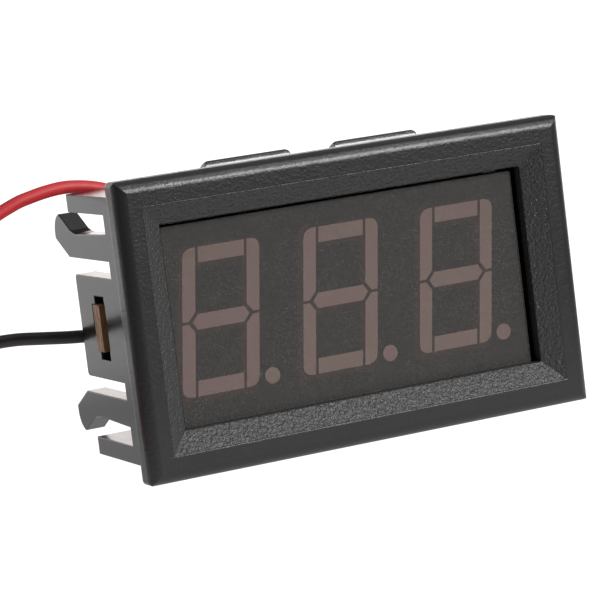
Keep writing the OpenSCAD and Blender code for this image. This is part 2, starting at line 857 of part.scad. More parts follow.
// Tinned end of a lead, at the end of its coil's tail
module tip(at, angle, way) {
    translate([at[0], at[1], tie_t]) rotate(angle)
        translate([coil_r, way * coil_tail, lead_d / 2]) rotate([-90 * way, 0, 0])
            cylinder(h = tip_l, r = tip_d / 2, $fn = 24);
}

module red_tip() {
    color([0.75, 0.76, 0.78]) tip(red_coil_at, red_exit, 1);
}

module black_tip() {
    color([0.75, 0.76, 0.78]) tip(black_coil_at, black_exit, -1);
}

bezel_case();
front_film();
display_shell();
display_substrate();
digit_left();
digit_middle();
digit_right();
display_pins();
display_pin_solder();
main_board();
controller_body();
controller_leads();
regulator_body();
regulator_leads();
diode_body();
diode_leads();
tantalum_body();
tantalum_leads();
chip_resistors();
chip_capacitors();
chip_end_caps();
trimmer_body();
trimmer_terminals();
trimmer_rotor();
lead_solder();
red_lead();
black_lead();
red_coil();
black_coil();
red_coil_tie();
black_coil_tie();
red_tip();
black_tip();
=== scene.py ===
# %% [markdown]
# A small panel meter: a black moulded case that snaps into a panel, a smoked film over three
# unlit digits, a board at the back, and two thin leads.
# The solids come from the CAD model as a fixed frame. What is made here is their finish, the
# leads with their coils, and the camera and light. All lengths are in metres.

# %% Load the fixed frame
import math

import bpy
import numpy as np
from mathutils import Matrix, Vector


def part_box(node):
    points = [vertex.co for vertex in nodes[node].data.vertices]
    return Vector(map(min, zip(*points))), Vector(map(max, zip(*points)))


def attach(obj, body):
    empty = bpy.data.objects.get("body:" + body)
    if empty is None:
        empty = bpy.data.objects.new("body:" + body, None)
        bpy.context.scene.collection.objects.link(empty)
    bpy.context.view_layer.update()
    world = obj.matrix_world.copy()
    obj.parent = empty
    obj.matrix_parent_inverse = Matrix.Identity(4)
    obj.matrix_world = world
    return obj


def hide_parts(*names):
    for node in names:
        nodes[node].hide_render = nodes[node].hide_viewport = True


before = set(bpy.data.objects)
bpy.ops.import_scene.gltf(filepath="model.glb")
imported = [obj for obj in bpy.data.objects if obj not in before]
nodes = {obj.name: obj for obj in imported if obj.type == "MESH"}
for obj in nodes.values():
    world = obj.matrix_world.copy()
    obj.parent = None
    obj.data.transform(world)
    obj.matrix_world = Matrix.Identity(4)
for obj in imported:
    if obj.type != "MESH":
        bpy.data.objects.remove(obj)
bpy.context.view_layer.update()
MM = 0.001

# %% [markdown]
# The camera comes first, because the leads have to lie where it doesn't look.
# It is a long lens a good way off, so the case keeps nearly parallel edges. It stands to the
# left of the meter and a little above it, and it is rolled, which tips the meter in the picture.
# Its place is worked out from the middle of the bezel's face, so it follows the meter.

# %% Camera
case_low, case_high = (np.array(corner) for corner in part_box("bezel_case"))
bezel_height = 29 * MM
face_middle = np.array([0.0, case_low[1], bezel_height / 2])
camera_yaw, camera_pitch, camera_roll = (math.radians(a) for a in (24.254, 6.904, -7.010))
camera_distance = 279.85 * MM
picture_shift = (6.016 * MM, 0.387 * MM)


def camera_axes(yaw, pitch, roll):
    """Right, up and forward of a camera: forward is +Y turned by yaw about Z and dipped by
    pitch, and right and up are then turned about forward by roll."""
    forward = np.array([
        math.sin(yaw) * math.cos(pitch), math.cos(yaw) * math.cos(pitch), -math.sin(pitch)])
    level = np.array([math.cos(yaw), -math.sin(yaw), 0.0])
    upright = np.cross(level, forward)
    right = math.cos(roll) * level + math.sin(roll) * upright
    up = math.cos(roll) * upright - math.sin(roll) * level
    return right, up, forward


right, up, forward = camera_axes(camera_yaw, camera_pitch, camera_roll)
camera_place = (face_middle - picture_shift[0] * right - picture_shift[1] * up
                - camera_distance * forward)
camera_data = bpy.data.cameras.new("camera")
camera_data.sensor_width = 36.0
camera_data.lens = 173.42
camera_data.clip_start = 0.01
camera_data.clip_end = 50.0
camera = bpy.data.objects.new("camera", camera_data)
camera.matrix_world = Matrix((
    (right[0], up[0], -forward[0], camera_place[0]),
    (right[1], up[1], -forward[1], camera_place[1]),
    (right[2], up[2], -forward[2], camera_place[2]),
    (0, 0, 0, 1)))
bpy.context.collection.objects.link(camera)
bpy.context.scene.camera = camera
print("camera at", np.round(camera_place / MM, 1), "mm")

# %% [markdown]
# A lead is a limp wire in soft insulation. Its route is a short list of points that a smooth
# curve passes through: out of the solder, over the edge of the case, down in an arc, and into a
# coil on the table. The coil's turns are worked out by a formula instead: the angle grows
# evenly while the height drops by one diameter each turn, so the turns lie one on another.

# %% Smooth curve and coil
def smooth_curve(points, step):
    """Points close together on a Catmull-Rom curve: between two route points it is the cubic
    that passes through both and has, at each, the direction from the point before to the
    point after."""
    p = np.asarray(points, float)
    p = np.vstack([2 * p[0] - p[1], p, 2 * p[-1] - p[-2]])
    a, b, c, d = p[:-3], p[1:-2], p[2:-1], p[3:]
    parts = int(np.ceil(np.linalg.norm(c - b, axis=1).max() / step))
    t = (np.arange(parts) / parts)[None, :, None]
    a, b, c, d = (q[:, None, :] for q in (a, b, c, d))
    curve = 0.5 * (2 * b + (c - a) * t + (2 * a - 5 * b + 4 * c - d) * t ** 2
                   + (3 * b - a - 3 * c + d) * t ** 3)
    return np.vstack([curve.reshape(-1, 3), p[-2]])


def coil_curve(middle, radius, start_angle, turns, way, low, drop, step):
    """A helix about a standing axis: angle = start + way * 2 pi * t, and
    height = low + drop * (turns - t), for t from 0 to turns."""
    count = int(turns * 2 * math.pi * radius / step)
    t = np.linspace(0, turns, count + 1)
    angle = start_angle + way * 2 * math.pi * t
    return np.column_stack([
        middle[0] + radius * np.cos(angle),
        middle[1] + radius * np.sin(angle),
        low + drop * (turns - t)])


def even_spacing(path, step):
    """The same line with its points an equal distance apart."""
    run = np.concatenate([[0], np.cumsum(np.linalg.norm(np.diff(path, axis=0), axis=1))])
    at = np.linspace(0, run[-1], max(2, int(round(run[-1] / step)) + 1))
    return np.column_stack([np.interp(at, run, path[:, k]) for k in range(3)])


lead_d = 1.3 * MM
coil_radius = 6.5 * MM
coil_low = 0.9 * MM
tail_length = 5.4 * MM

red_start = np.array([-14.5, 2.05, 23.1])
red_points = np.vstack([red_start + np.array([
    [0, 0, 0], [0, 1.6, 0.1], [-0.3, 3.2, 0.95], [-1.5, 4.2, 2.55], [-3.5, 4.5, 3.85],
    [-5.7, 4.5, 4.6], [-8.1, 4.5, 4.95], [-10.1, 4.5, 4.85], [-12.1, 4.5, 4.5],
    [-13.8, 4.5, 4.05]]), [
    [-31.2, 6.6, 25.85], [-33.8, 6.5, 23.8], [-35.8, 6.3, 21.2], [-37.3, 6, 18.2],
    [-38.3, 5.7, 15.1], [-39.1, 5.3, 12], [-39.8, 4.9, 8.9], [-40.8, 4.4, 6.3],
    [-42.4, 4, 4.6], [-44, 3.85, 4.0]]]) * MM
black_start = np.array([-16.5, 2.05, 12.3])
black_points = np.vstack([black_start + np.array([
    [0, 0, 0], [0, 1.6, 0], [-0.2, 3.2, 0.05], [-1.1, 4.7, 0.25], [-2.9, 5.5, 0.45],
    [-5.1, 5.9, 0.65], [-7.5, 6.3, 0.85], [-10.1, 6.7, 1.15], [-12.7, 7.2, 1.4]]), [
    [-31.6, 9.6, 13.6], [-33.9, 9.6, 12.8], [-36, 9.3, 11.2],
    [-37.5, 8.8, 8.9], [-38.6, 8.1, 6.9], [-39.9, 7.2, 5.2], [-41.4, 6.4, 4.4]]]) * MM


def whole_lead(points, middle, start_angle, turns, way):
    """The lead's line: its route, its coil, and the straight tail along the coil's tangent."""
    coil = coil_curve(middle, coil_radius, start_angle, turns, way, coil_low, lead_d, 0.4 * MM)
    last = coil[-1] - coil[-2]
    last[2] = 0
    tail_end = coil[-1] + last / np.linalg.norm(last) * tail_length
    line = np.vstack([smooth_curve(np.vstack([points, coil[0]]), 0.4 * MM)[:-1], coil, tail_end])
    return even_spacing(line, 0.45 * MM)


red_middle = np.array([-45.5, -2.7]) * MM
black_middle = np.array([-43.0, 12.5]) * MM
red_line = whole_lead(red_points, red_middle, math.radians(90), 2.25, 1)
black_line = whole_lead(black_points, black_middle, math.radians(-90), 2.5, -1)


def line_length(line):
    return float(np.linalg.norm(np.diff(line, axis=0), axis=1).sum())


print("lead lengths in mm:", [round(line_length(q) / MM, 1) for q in (red_line, black_line)])

# %% [markdown]
# A tube is a grid of points bent round a line: one ring of points at each step. The rings need
# a sideways direction that doesn't spin, so each takes the one before it and straightens it
# against the new direction. The rings then join into quads, and a fan closes each end.

# %% Tubes, as a grid of rings
def ring_axes(line):
    """Two directions square to the line at each of its points, carried along without spin."""
    along = np.gradient(line, axis=0)
    along /= np.linalg.norm(along, axis=1, keepdims=True)
    side = np.cross(along[0], [0.0, 0.0, 1.0])
    if np.linalg.norm(side) < 0.1:
        side = np.array([1.0, 0.0, 0.0])
    sides = []
    for direction in along:
        side = side - direction * side.dot(direction)
        side = side / np.linalg.norm(side)
        sides.append(side)
    sides = np.array(sides)
    return along, sides, np.cross(along, sides)


def mesh_piece(name, points, faces, smooth=True):
    """An object from an array of points and a list of faces."""
    mesh = bpy.data.meshes.new(name)
    mesh.from_pydata([tuple(p) for p in points], [], [tuple(f) for f in faces])
    mesh.polygons.foreach_set("use_smooth", np.full(len(mesh.polygons), smooth))
    mesh.update()
    piece = bpy.data.objects.new(name, mesh)
    bpy.context.collection.objects.link(piece)
    return piece


def grid_faces(rows, columns):
    """Quads between neighbouring rings, where the last column joins the first again."""
    row, column = np.meshgrid(np.arange(rows - 1), np.arange(columns), indexing="ij")
    a = row * columns + column
    b = row * columns + (column + 1) % columns
    return np.stack([a, b, b + columns, a + columns], axis=-1).reshape(-1, 4)


def tube_piece(name, line, radius_at, sides=20):
    """A closed tube. radius_at(s, angle) gives the radius at each distance s along the line and
    each angle around it; each point is line + radius * (cos(angle) * side + sin(angle) * up)."""
    along, side, over = ring_axes(line)
    s = np.concatenate([[0], np.cumsum(np.linalg.norm(np.diff(line, axis=0), axis=1))])
    angle = np.arange(sides) * 2 * math.pi / sides
    r = radius_at(s[:, None], angle[None, :]) + np.zeros((len(line), sides))
    rings = (line[:, None, :] + r[..., None] * (
        np.cos(angle)[None, :, None] * side[:, None, :]
        + np.sin(angle)[None, :, None] * over[:, None, :]))
    points = np.vstack([rings.reshape(-1, 3), line[0], line[-1]])
    first, last = len(points) - 2, len(points) - 1
    base = (len(line) - 1) * sides
    k = np.arange(sides)
    fans = [(first, (i + 1) % sides, i) for i in k]
    fans += [(last, base + i, base + (i + 1) % sides) for i in k]
    faces = [tuple(f) for f in grid_faces(len(line), sides)] + fans
    return mesh_piece(name, points, faces)


def insulation_radius(total):
    """The lead's radius, rounded over at both cut ends of the insulation."""
    def at(s, angle):
        left = np.minimum(s, total - s)
        return lead_d / 2 * np.sqrt(1 - 0.35 * np.clip(1 - left / (0.25 * MM), 0, 1) ** 2)
    return at


red_lead = tube_piece("red_wire", red_line, insulation_radius(line_length(red_line)))
black_lead = tube_piece("black_wire", black_line, insulation_radius(line_length(black_line)))
print("wire triangles:", 2 * len(red_lead.data.polygons), 2 * len(black_lead.data.polygons))

# %% [markdown]
# The far end of each lead is stripped and tinned: a few copper strands twisted together and
# filled with solder. One closed tube gives that if its section has a lobe for each strand and
# the section turns as it goes along.

# %% Tinned ends
tip_length, tip_radius, strand_count = 4.0 * MM, 0.4 * MM, 7


def tinned_end(name, lead_line):
    """A lobed bar: radius = tip radius * (1 - 0.09 * (1 - |cos(strands * (angle - twist))|)),
    drawn in to a blunt end over the last part of its length."""
    way = lead_line[-1] - lead_line[-2]
    way = way / np.linalg.norm(way)
    start = lead_line[-1] - way * 0.4 * MM
    s = np.linspace(0, tip_length + 0.4 * MM, 60)
    line = start + way * s[:, None]
    total = s[-1]

    def radius(s, angle):
        twist = s / (3.2 * MM) * 2 * math.pi
        lobe = 1 - 0.16 * (1 - np.abs(np.cos(strand_count * (angle - twist) / 2)))
        blunt = np.sqrt(np.clip(1 - np.clip((s - total + 0.35 * MM) / (0.36 * MM), 0, 1) ** 2, 0.02, 1))
        return tip_radius * lobe * blunt
    return tube_piece(name, line, radius, sides=56)


red_end = tinned_end("red_stripped_end", red_line)
black_end = tinned_end("black_stripped_end", black_line)

# %% [markdown]
# A small nylon tie holds each coil. Its band goes round the bundle of turns in a long oval: two
# straight sides joined by half circles. That outline is a closed profile, and the band is the
# profile carried a short way along the coil's own circle, so it hugs the curve.

# %% Ties
tie_thickness, tie_width = 0.25 * MM, 2.2 * MM
bundle_height = 3 * lead_d


def tie_band(name, middle, angle):
    """An oval band: for u round the oval, the outline is a stadium, that is half circles of
    one radius above and below a straight part, and the band spans an arc of the coil."""
    u = np.linspace(0, 2 * math.pi, 64, endpoint=False)
    straight = (bundle_height - lead_d) / 2
    corner = np.array([[0.55, 1.0]])
    outline = []
    for grow in (0.02 * MM, tie_thickness):
        r = lead_d / 2 + grow
        x = r * np.cos(u)
        z = r * np.sin(u) + np.sign(np.sin(u)) * straight
        outline.append(np.column_stack([x, z]))
    inner, outer = outline
    half = tie_width / 2 / coil_radius
    profile = np.stack([inner, outer, outer, inner])
    arc = np.array([-half, -half, half, half])
    low = coil_low - lead_d / 2 + bundle_height / 2
    radius = coil_radius + profile[..., 0]
    turn = angle + arc[:, None]
    points = np.stack([
        middle[0] + radius * np.cos(turn),
        middle[1] + radius * np.sin(turn),
        low + profile[..., 1]], axis=-1)
    rows, columns = points.shape[:2]
    faces = grid_faces(rows, columns).tolist()
    k = np.arange(columns)
    last = (rows - 1) * columns
    faces += np.column_stack([last + k, last + (k + 1) % columns, (k + 1) % columns, k]).tolist()
    return mesh_piece(name, points.reshape(-1, 3), faces, smooth=False)


red_tie = tie_band("red_bundle_tie", red_middle, math.radians(-60))
black_tie = tie_band("black_bundle_tie", black_middle, math.radians(20))

# %% [markdown]
# Each new piece moves with the meter's body, and the CAD solids that it takes the place of are hidden.

lead_pieces = {
    "red": (red_lead, red_end, red_tie, red_line),
    "black": (black_lead, black_end, black_tie, black_line),
}
for colour, (wire, end, tie, line) in lead_pieces.items():
    for piece in (wire, end, tie):
        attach(piece, "meter")
    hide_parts(f"{colour}_lead", f"{colour}_coil")
    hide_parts(f"{colour}_tip")
    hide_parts(f"{colour}_coil_tie")

# %% [markdown]
# Every finish is built from nodes that read the position of the surface in the meter's own
# frame (Object coordinates), so a pattern keeps its true size and stays where it is when the
# camera moves. Two small helpers keep the node code short: one adds a node with its values and
# links, the other adds a sum or a product.

# %% Node helpers
def node_material(name):
    """A new material whose node tree holds only its output."""
    material = bpy.data.materials.new(name)
    material.use_nodes = True
    tree = material.node_tree
    tree.nodes.clear()
    output = tree.nodes.new("ShaderNodeOutputMaterial")
    return material, tree, output


def add(tree, kind, inputs=None, **settings):
    """Adds a node. inputs maps a socket's name or number to a value or to another socket."""
    node = tree.nodes.new(kind)
    for key, value in settings.items():
        setattr(node, key, value)
    for key, value in (inputs or {}).items():
        socket = node.inputs[key]
        if isinstance(value, bpy.types.NodeSocket):
            tree.links.new(value, socket)
        else:
            socket.default_value = value
    return node


def sums(tree, operation, a, b=0.0, c=0.0):
    """One step of arithmetic on numbers or sockets, such as ADD or SMOOTH_MIN."""
    node = tree.nodes.new("ShaderNodeMath")
    node.operation = operation
    for socket, value in zip(node.inputs, (a, b, c)):
        if isinstance(value, bpy.types.NodeSocket):
            tree.links.new(value, socket)
        else:
            socket.default_value = value
    return node.outputs[0]


def place_of(tree):
    """The Object coordinates as a vector and as x, y and z."""
    vector = add(tree, "ShaderNodeTexCoord").outputs["Object"]
    parts = add(tree, "ShaderNodeSeparateXYZ", {0: vector})
    return vector, parts.outputs[0], parts.outputs[1], parts.outputs[2]


def noise(tree, vector, size, detail=2.0, roughness=0.5):
    """Noise whose lumps are about size metres across; 0.5 on average."""
    return add(tree, "ShaderNodeTexNoise", {
        "Vector": vector, "Scale": 1 / size, "Detail": detail, "Roughness": roughness}).outputs[0]


def step_up(tree, value, low, high):
    """0 below low, 1 above high, and a smooth slope between."""
    return add(tree, "ShaderNodeMapRange", {
        "Value": value, "From Min": low, "From Max": high}, interpolation_type="SMOOTHSTEP").outputs[0]


def blend_colours(tree, share, first, second):
    """A colour that goes from first to second as share goes from 0 to 1."""
    node = tree.nodes.new("ShaderNodeMix")
    node.data_type = "RGBA"
    for socket, value in zip((node.inputs[0], node.inputs[6], node.inputs[7]), (share, first, second)):
        if isinstance(value, bpy.types.NodeSocket):
            tree.links.new(value, socket)
        elif isinstance(value, tuple):
            socket.default_value = (*value, 1.0) if len(value) == 3 else value
        else:
            socket.default_value = value
    return node.outputs[2]


def bumped(tree, height, distance, strength=1.0, normal=None):
    """A normal tilted by the slope of a height, where height 1 stands for distance metres."""
    inputs = {"Height": height, "Distance": distance, "Strength": strength}
    if normal is not None:
        inputs["Normal"] = normal
    return add(tree, "ShaderNodeBump", inputs).outputs[0]


def surface(tree, output, **sockets):
    """A Principled shader joined to the output; a key such as Base_Color names its socket."""
    inputs = {key.replace("_", " "): value for key, value in sockets.items()}
    for key, value in inputs.items():
        if isinstance(value, tuple) and len(value) == 3:
            inputs[key] = (*value, 1.0)
    shader = add(tree, "ShaderNodeBsdfPrincipled", inputs)
    tree.links.new(shader.outputs[0], output.inputs["Surface"])
    return shader


def dress(material, *names):
    """Gives CAD nodes or new pieces a material."""
    for name in names:
        piece = nodes.get(name) or bpy.data.objects[name]
        piece.data.materials.clear()
        piece.data.materials.append(material)


# %% [markdown]
# The case is flame retardant plastic from a mould whose face side was spark eroded: a fine
# leathery grain that catches the light on the rounded edges and on the lower slope of the
# recess. The body behind the flange came from a polished part of the mould, so its grain fades
# out there. A few specks of dust lie on the face.

# %% Case material
recess_half = (21.5 * MM, 11.9 * MM)


def moulded_case():
    material, tree, output = node_material("moulded_case")
    vector, x, y, z = place_of(tree)
    flange_back = case_low[1] + 2.5 * MM
    on_flange = sums(tree, "SUBTRACT", 1.0, step_up(tree, y, flange_back - 0.4 * MM, flange_back + 0.1 * MM))
    beside = sums(tree, "SUBTRACT", sums(tree, "ABSOLUTE", x), recess_half[0])
    above = sums(tree, "SUBTRACT", sums(
        tree, "ABSOLUTE", sums(tree, "SUBTRACT", z, bezel_height / 2)), recess_half[1])
    outside = sums(tree, "MAXIMUM", beside, above)
    in_recess = sums(tree, "MULTIPLY", on_flange, sums(
        tree, "SUBTRACT", 1.0, step_up(tree, outside, -0.05 * MM, 0.02 * MM)))
    grain = noise(tree, vector, 0.34 * MM, 1.0, 0.5)
    fine = noise(tree, vector, 0.15 * MM, 1.0, 0.5)
    height = sums(tree, "MULTIPLY_ADD", fine, 0.5, grain)
    strength = sums(tree, "MULTIPLY_ADD", in_recess, 0.86, 0.04)
    strength = sums(tree, "MULTIPLY_ADD", on_flange, 0.16, strength)
    edge = add(tree, "ShaderNodeBevel", {"Radius": 0.2 * MM}, samples=6).outputs[0]
    normal = bumped(tree, sums(tree, "MULTIPLY", height, strength), 0.14 * MM, 1.0, edge)
    clouds = noise(tree, vector, 6 * MM, 3.0)
    body = blend_colours(tree, clouds, (0.0115, 0.0112, 0.0112), (0.017, 0.0165, 0.0162))
    dust_cells = add(tree, "ShaderNodeTexVoronoi", {"Vector": vector, "Scale": 1 / (1.1 * MM)})
    near = sums(tree, "LESS_THAN", dust_cells.outputs["Distance"], 0.055)
    chosen = sums(tree, "GREATER_THAN", add(
        tree, "ShaderNodeSeparateColor", {0: dust_cells.outputs["Color"]}).outputs[0], 0.93)
    speck = sums(tree, "MULTIPLY", sums(tree, "MULTIPLY", near, chosen), on_flange)
    body = blend_colours(tree, in_recess, body, (0.036, 0.0354, 0.0362))
    colour = blend_colours(tree, speck, body, (0.16, 0.16, 0.155))
    smears = noise(tree, add(tree, "ShaderNodeMapping", {"Vector": vector, "Scale": (1.0, 0.15, 1.0)}).outputs[0],
                   0.8 * MM, 3.0, 0.6)
    roughness = sums(tree, "MULTIPLY_ADD", smears, 0.14, 0.14)
    roughness = sums(tree, "MULTIPLY_ADD", on_flange, 0.13, roughness)
    roughness = sums(tree, "MULTIPLY_ADD", in_recess, 0.05, roughness)
    surface(tree, output, Base_Color=colour, Roughness=roughness, Normal=normal, IOR=1.5)
    return material


case_material = moulded_case()
dress(case_material, "bezel_case")

# %% [markdown]
# The smoked film is a thin tinted sheet with a matt skin. It scatters a little light of its own,
# which greys what lies behind it, and lets the rest through. Its sparkle is painted glints: fine
# noise picks out tiny facets, tilts them a little in a bump, and paints them lighter in the film's colour, more in some
# patches.
# The sheet is made again here with broken edges, a hair's breadth in front of the display.

# %% Film
def film_sheet(name, low, high, air, edge):
    """A box from low to high whose back stays clear of the display, with bevelled edges."""
    x, z = (low[0], high[0]), (low[2], high[2])
    y = (low[1], high[1] - air)
    corners = np.array([[a, b, c] for c in z for b in y for a in x])
    faces = [(0, 1, 5, 4), (2, 6, 7, 3), (0, 4, 6, 2), (1, 3, 7, 5), (4, 5, 7, 6), (0, 2, 3, 1)]
    sheet = mesh_piece(name, corners, faces, smooth=False)
    bevel = sheet.modifiers.new("broken edges", "BEVEL")
    bevel.width, bevel.segments = edge, 2
    return sheet


def smoked_film():
    material, tree, output = node_material("smoked_film")
    vector, x, y, z = place_of(tree)
    facets = noise(tree, vector, 0.13 * MM, 1.0, 0.6)
    patches = noise(tree, vector, 2.5 * MM, 2.0)
    # painted glints: the chosen facets get a lighter film colour, as if they mirrored the light
    sparkle = step_up(tree, facets, 0.52, 0.72)
    painted_glint = sums(tree, "MULTIPLY", sparkle, sums(tree, "MULTIPLY_ADD", patches, 1.1, 0.1))
    colour = blend_colours(tree, painted_glint, (0.050, 0.046, 0.042), (0.20, 0.193, 0.183))
    normal = bumped(tree, facets, 0.02 * MM)
    surface(tree, output, Base_Color=colour, Roughness=0.5, Normal=normal, Alpha=0.34, IOR=1.45)
    return material


film_low, film_high = (np.array(corner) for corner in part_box("front_film"))
film = film_sheet("smoked_film", film_low, film_high, 0.05 * MM, 0.05 * MM)
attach(film, "meter")
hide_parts("front_film")
dress(smoked_film(), "smoked_film")

# %% [markdown]
# Behind the film is the display's black shell, which turns a faint brown within about half a
# millimetre of each segment. The rim needs the distance to the nearest segment. All segments are
# straight bars, so with the digit's lean taken out and its two mirror halves folded together,
# three bars are left, and each distance is that of a point to a straight piece.

# %% Display materials
display_low, display_high = (np.array(corner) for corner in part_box("display_shell"))
digit_low, digit_high = (np.array(corner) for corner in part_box("digit_middle"))
digit_pitch = float(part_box("digit_right")[0][0] - digit_low[0])
digit_height = float(digit_high[2] - digit_low[2])
lean = math.radians(7.5)
print("digit pitch and height in mm:", round(digit_pitch / MM, 2), round(digit_height / MM, 2))


def bar_distance(tree, across, along, place, half_length, half_width):
    """Distance from a bar: hypot of across - place and of how far along passes the bar's end,
    less the bar's half width."""
    off = sums(tree, "SUBTRACT", across, place)
    past = sums(tree, "MAXIMUM", sums(tree, "SUBTRACT", along, half_length), 0.0)
    both = sums(tree, "ADD", sums(tree, "MULTIPLY", off, off), sums(tree, "MULTIPLY", past, past))
    return sums(tree, "SUBTRACT", sums(tree, "SQRT", both), half_width)


def display_shell():
    material, tree, output = node_material("display_shell")
    vector, x, y, z = place_of(tree)
    middle_x = float(np.mean([digit_low[0], digit_high[0]])) - 0.6 * MM
    middle_z = float(np.mean([display_low[2], display_high[2]]))
    height = sums(tree, "SUBTRACT", z, middle_z)
    upright_x = sums(tree, "MULTIPLY_ADD", height, -math.tan(lean), sums(tree, "SUBTRACT", x, middle_x))
    wrapped = sums(tree, "WRAP", upright_x, digit_pitch / 2, -digit_pitch / 2)
    fx, fz = sums(tree, "ABSOLUTE", wrapped), sums(tree, "ABSOLUTE", height)
    side = bar_distance(tree, fx, fz, 3.4 * MM, digit_height / 2 - 0.5 * MM, 0.65 * MM)
    top = bar_distance(tree, fz, fx, digit_height / 2 - 0.75 * MM, 2.4 * MM, 0.75 * MM)
    bar = bar_distance(tree, fz, fx, 0.0, 2.9 * MM, 0.7 * MM)
    nearest = sums(tree, "MINIMUM", sums(tree, "MINIMUM", side, top), bar)
    rim = sums(tree, "SUBTRACT", 1.0, step_up(tree, nearest, 0.05 * MM, 0.55 * MM))
    colour = blend_colours(tree, rim, (0.02, 0.02, 0.019), (0.075, 0.035, 0.03))
    surface(tree, output, Base_Color=colour, Roughness=0.55)
    return material


def segment():
    material, tree, output = node_material("segment")
    vector, x, y, z = place_of(tree)
    clouds = noise(tree, vector, 5 * MM, 2.0)
    fine = noise(tree, vector, 0.16 * MM, 2.0)
    tint = blend_colours(tree, step_up(tree, clouds, 0.38, 0.62), (0.60, 0.375, 0.35), (0.56, 0.385, 0.315))
    colour = blend_colours(tree, sums(tree, "MULTIPLY", fine, 0.3), tint, (0.62, 0.44, 0.42))
    surface(tree, output, Base_Color=colour, Roughness=0.45, Subsurface_Weight=0.0)
    return material


dress(display_shell(), "display_shell")
dress(segment(), "digit_left", "digit_middle", "digit_right")

# %% [markdown]
# The board is thin pressed sheet. Its back carries the tracks under green lacquer, its front is
# the bare brown sheet, and its cut edge shows the tan layers that it is pressed from.

# %% Board materials
board_low, board_high = (np.array(corner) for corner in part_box("main_board"))


def board():
    material, tree, output = node_material("board")
    vector, x, y, z = place_of(tree)
    facing = add(tree, "ShaderNodeSeparateXYZ", {0: add(tree, "ShaderNodeTexCoord").outputs["Normal"]}).outputs[1]
    on_back = sums(tree, "GREATER_THAN", facing, 0.7)
    on_front = sums(tree, "LESS_THAN", facing, -0.7)
    layers = noise(tree, add(tree, "ShaderNodeMapping", {
        "Vector": vector, "Scale": (1.0, 9.0, 1.0)}).outputs[0], 1.2 * MM, 3.0, 0.6)
    edge = blend_colours(tree, step_up(tree, layers, 0.35, 0.65), (0.25, 0.13, 0.05), (0.58, 0.38, 0.24))
    tracks = add(tree, "ShaderNodeTexBrick", {
        "Vector": add(tree, "ShaderNodeMapping", {"Vector": vector, "Rotation": (math.radians(90), 0, 0)}).outputs[0],
        "Color1": (0.012, 0.075, 0.03, 1), "Color2": (0.016, 0.09, 0.036, 1), "Mortar": (0.008, 0.05, 0.02, 1),
        "Scale": 1.0, "Mortar Size": 0.12 * MM, "Brick Width": 3.1 * MM, "Row Height": 1.0 * MM})
    bare = blend_colours(tree, layers, (0.16, 0.07, 0.02), (0.30, 0.15, 0.05))
    colour = blend_colours(tree, on_back, blend_colours(tree, on_front, edge, bare), tracks.outputs[0])
    grain = noise(tree, vector, 0.2 * MM, 2.0)
    normal = bumped(tree, sums(tree, "ADD", tracks.outputs[1], sums(tree, "MULTIPLY", grain, 0.3)), 0.02 * MM, 0.6)
    surface(tree, output, Base_Color=colour, Roughness=sums(tree, "MULTIPLY_ADD", on_back, -0.3, 0.62), Normal=normal)
    return material


def plain_finish(name, dark, light, size, roughness, metallic=0.0, bump=0.0, coat=0.0):
    """A finish for small parts: two close tones in clouds of one size, and a bump to match."""
    material, tree, output = node_material(name)
    vector, x, y, z = place_of(tree)
    clouds = noise(tree, vector, size, 3.0, 0.6)
    edge = add(tree, "ShaderNodeBevel", {"Radius": 0.06 * MM}, samples=4).outputs[0]
    surface(tree, output, Base_Color=blend_colours(tree, clouds, dark, light),
            Roughness=sums(tree, "MULTIPLY_ADD", clouds, 0.2, roughness - 0.1),
            Metallic=metallic, Normal=bumped(tree, clouds, bump, 1.0, edge), Coat_Weight=coat)
    return material


dress(board(), "main_board")
dress(plain_finish("glass_fibre_sheet", (0.16, 0.15, 0.07), (0.24, 0.22, 0.1), 0.5 * MM, 0.5, bump=0.01 * MM),
      "display_substrate")
dress(plain_finish("chip_moulding", (0.012, 0.012, 0.012), (0.03, 0.03, 0.03), 0.15 * MM, 0.5, bump=0.012 * MM),
      "controller_body", "regulator_body", "diode_body", "chip_resistors")
dress(plain_finish("tantalum_moulding", (0.60, 0.33, 0.03), (0.75, 0.45, 0.06), 0.3 * MM, 0.45, bump=0.008 * MM),
      "tantalum_body")
dress(plain_finish("ceramic", (0.36, 0.24, 0.14), (0.48, 0.34, 0.22), 0.3 * MM, 0.5, bump=0.006 * MM),
      "chip_capacitors")
dress(plain_finish("tinned_leads", (0.55, 0.55, 0.55), (0.72, 0.72, 0.70), 0.25 * MM, 0.35, 1.0, 0.006 * MM),
      "display_pins", "controller_leads", "regulator_leads", "diode_leads", "tantalum_leads",
      "trimmer_terminals", "chip_end_caps")
dress(plain_finish("solder", (0.50, 0.51, 0.53), (0.72, 0.73, 0.75), 0.5 * MM, 0.28, 1.0, 0.02 * MM),
      "display_pin_solder", "lead_solder")
dress(plain_finish("trimmer_body", (0.60, 0.57, 0.48), (0.74, 0.71, 0.62), 0.4 * MM, 0.45, bump=0.008 * MM),
      "trimmer_body")
dress(plain_finish("brass", (0.55, 0.38, 0.13), (0.75, 0.56, 0.24), 0.25 * MM, 0.32, 1.0, 0.008 * MM),
      "trimmer_rotor")

# %% [markdown]
# The insulation is soft plastic with a fine satin skin; the tinned ends are solder over copper.

# %% Lead materials
def insulation(name, dark, light, roughness):
    material, tree, output = node_material(name)
    vector, x, y, z = place_of(tree)
    clouds = noise(tree, vector, 2.5 * MM, 3.0)
    skin = noise(tree, vector, 0.12 * MM, 2.0)
    surface(tree, output, Base_Color=blend_colours(tree, clouds, dark, light),
            Roughness=sums(tree, "MULTIPLY_ADD", skin, 0.15, roughness - 0.07),
            Normal=bumped(tree, skin, 0.008 * MM, 0.6))
    return material


